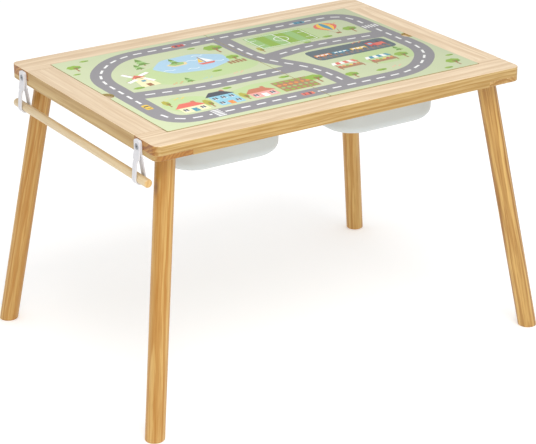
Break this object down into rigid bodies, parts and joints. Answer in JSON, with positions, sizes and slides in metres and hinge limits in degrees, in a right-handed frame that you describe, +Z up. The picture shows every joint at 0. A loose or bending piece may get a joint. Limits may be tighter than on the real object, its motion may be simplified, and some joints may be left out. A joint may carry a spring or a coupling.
{
  "type": "kids table with storage",
  "caption": "Low rectangular play table on splayed round legs, with lift-out printed boards over hanging storage bins and a paper-roll dowel in strap loops at one end.",
  "frame": {"origin": "on the floor, under the middle of the table", "axes": "+Z up; +X along the length of the top, away from the paper-roll dowel; +Y across it, away from the front"},
  "size_m": [0.7864, 0.5622, 0.4775],
  "materials": {
    "frame_pine": "clear satin lacquer on straight-grained pine",
    "inner_pine": "planed, bare",
    "leg_pine": "clear satin lacquer on turned pine",
    "dowel_wood": "sanded, bare",
    "printed_board": "fibreboard with a matt printed film",
    "bin_plastic": "translucent moulded plastic",
    "strap_leather": "white coated strap",
    "zinc_steel": "zinc plated"
  },
  "bodies": {
    "frame": {"front_rail": "frame_pine", "back_rail": "frame_pine", "left_end_board": "frame_pine", "right_end_board": "frame_pine", "centre_rail": "inner_pine", "front_left_cleat": "inner_pine", "front_right_cleat": "inner_pine", "back_left_cleat": "inner_pine", "back_right_cleat": "inner_pine", "left_cleat": "inner_pine", "right_cleat": "inner_pine", "front_left_leg": "leg_pine", "front_right_leg": "leg_pine", "back_left_leg": "leg_pine", "back_right_leg": "leg_pine", "front_strap": "strap_leather", "back_strap": "strap_leather", "strap_screws": "zinc_steel", "strap_washers": "zinc_steel", "leg_hanger_bolts": "zinc_steel", "leg_insert_nuts": "zinc_steel", "cleat_screws": "zinc_steel", "centre_rail_screws": "zinc_steel", "corner_screws": "zinc_steel"},
    "left_bin": {"left_bin": "bin_plastic"},
    "left_lid": {"left_lid": "printed_board"},
    "right_bin": {"right_bin": "bin_plastic"},
    "right_lid": {"right_lid": "printed_board"},
    "roll_dowel": {"roll_dowel": "dowel_wood"}
  },
  "joints": [
    {"name": "left_bin_lift", "type": "slide", "parent": "frame", "child": "left_bin", "axis": [0, 0, 1], "range_m": [0, 0.14]},
    {"name": "left_lid_lift", "type": "slide", "parent": "left_bin", "child": "left_lid", "axis": [0, 0, 1], "range_m": [0, 0.15]},
    {"name": "right_bin_lift", "type": "slide", "parent": "frame", "child": "right_bin", "axis": [0, 0, 1], "range_m": [0, 0.14]},
    {"name": "right_lid_lift", "type": "slide", "parent": "right_bin", "child": "right_lid", "axis": [0, 0, 1], "range_m": [0, 0.15]},
    {"name": "roll_dowel_slide", "type": "slide", "parent": "frame", "child": "roll_dowel", "axis": [0, 1, 0], "range_m": [-0.44, 0.44]}
  ]
}
